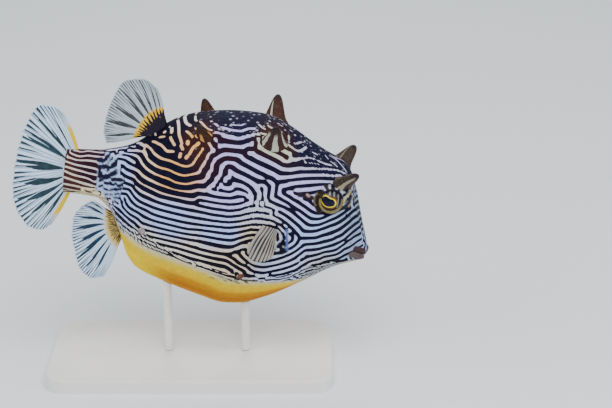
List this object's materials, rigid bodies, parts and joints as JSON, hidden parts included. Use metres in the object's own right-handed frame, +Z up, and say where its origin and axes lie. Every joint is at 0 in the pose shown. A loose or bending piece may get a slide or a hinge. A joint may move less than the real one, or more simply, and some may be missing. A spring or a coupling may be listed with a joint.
{
  "type": "boxfish display model",
  "caption": "Life-size ornate boxfish in a swimming pose, with a keeled carapace, horns and spines, rayed fins and a plain two-rod stand.",
  "frame": {"origin": "middle of the underside of the stand's base", "axes": "+X towards the snout, +Y towards the fish's left side, +Z up"},
  "size_m": [0.1228, 0.052, 0.1053],
  "materials": {
    "flank_skin": "smooth satin skin over bony plates, pale with dark blue-black lines",
    "belly_skin": "smooth satin skin, golden yellow",
    "eye": "wet and glossy",
    "thorn": "satin",
    "fin": "thin satin membrane with pale rays",
    "stand": "matt, pale"
  },
  "bodies": {
    "root": {"head": "flank_skin", "torso": "flank_skin", "belly": "belly_skin", "tail_stalk": "flank_skin", "eye_left": "eye", "eye_right": "eye", "horn_left": "thorn", "horn_right": "thorn", "back_spine_front_left": "thorn", "back_spine_front_right": "thorn", "back_spine_rear_left": "thorn", "back_spine_rear_right": "thorn", "low_spine_front_left": "thorn", "low_spine_front_right": "thorn", "low_spine_rear_left": "thorn", "low_spine_rear_right": "thorn", "tail_fin": "fin", "dorsal_fin": "fin", "anal_fin": "fin", "pectoral_fin_left": "fin", "pectoral_fin_right": "fin", "stand_base": "stand", "stand_rod_front": "stand", "stand_rod_rear": "stand"}
  },
  "joints": []
}
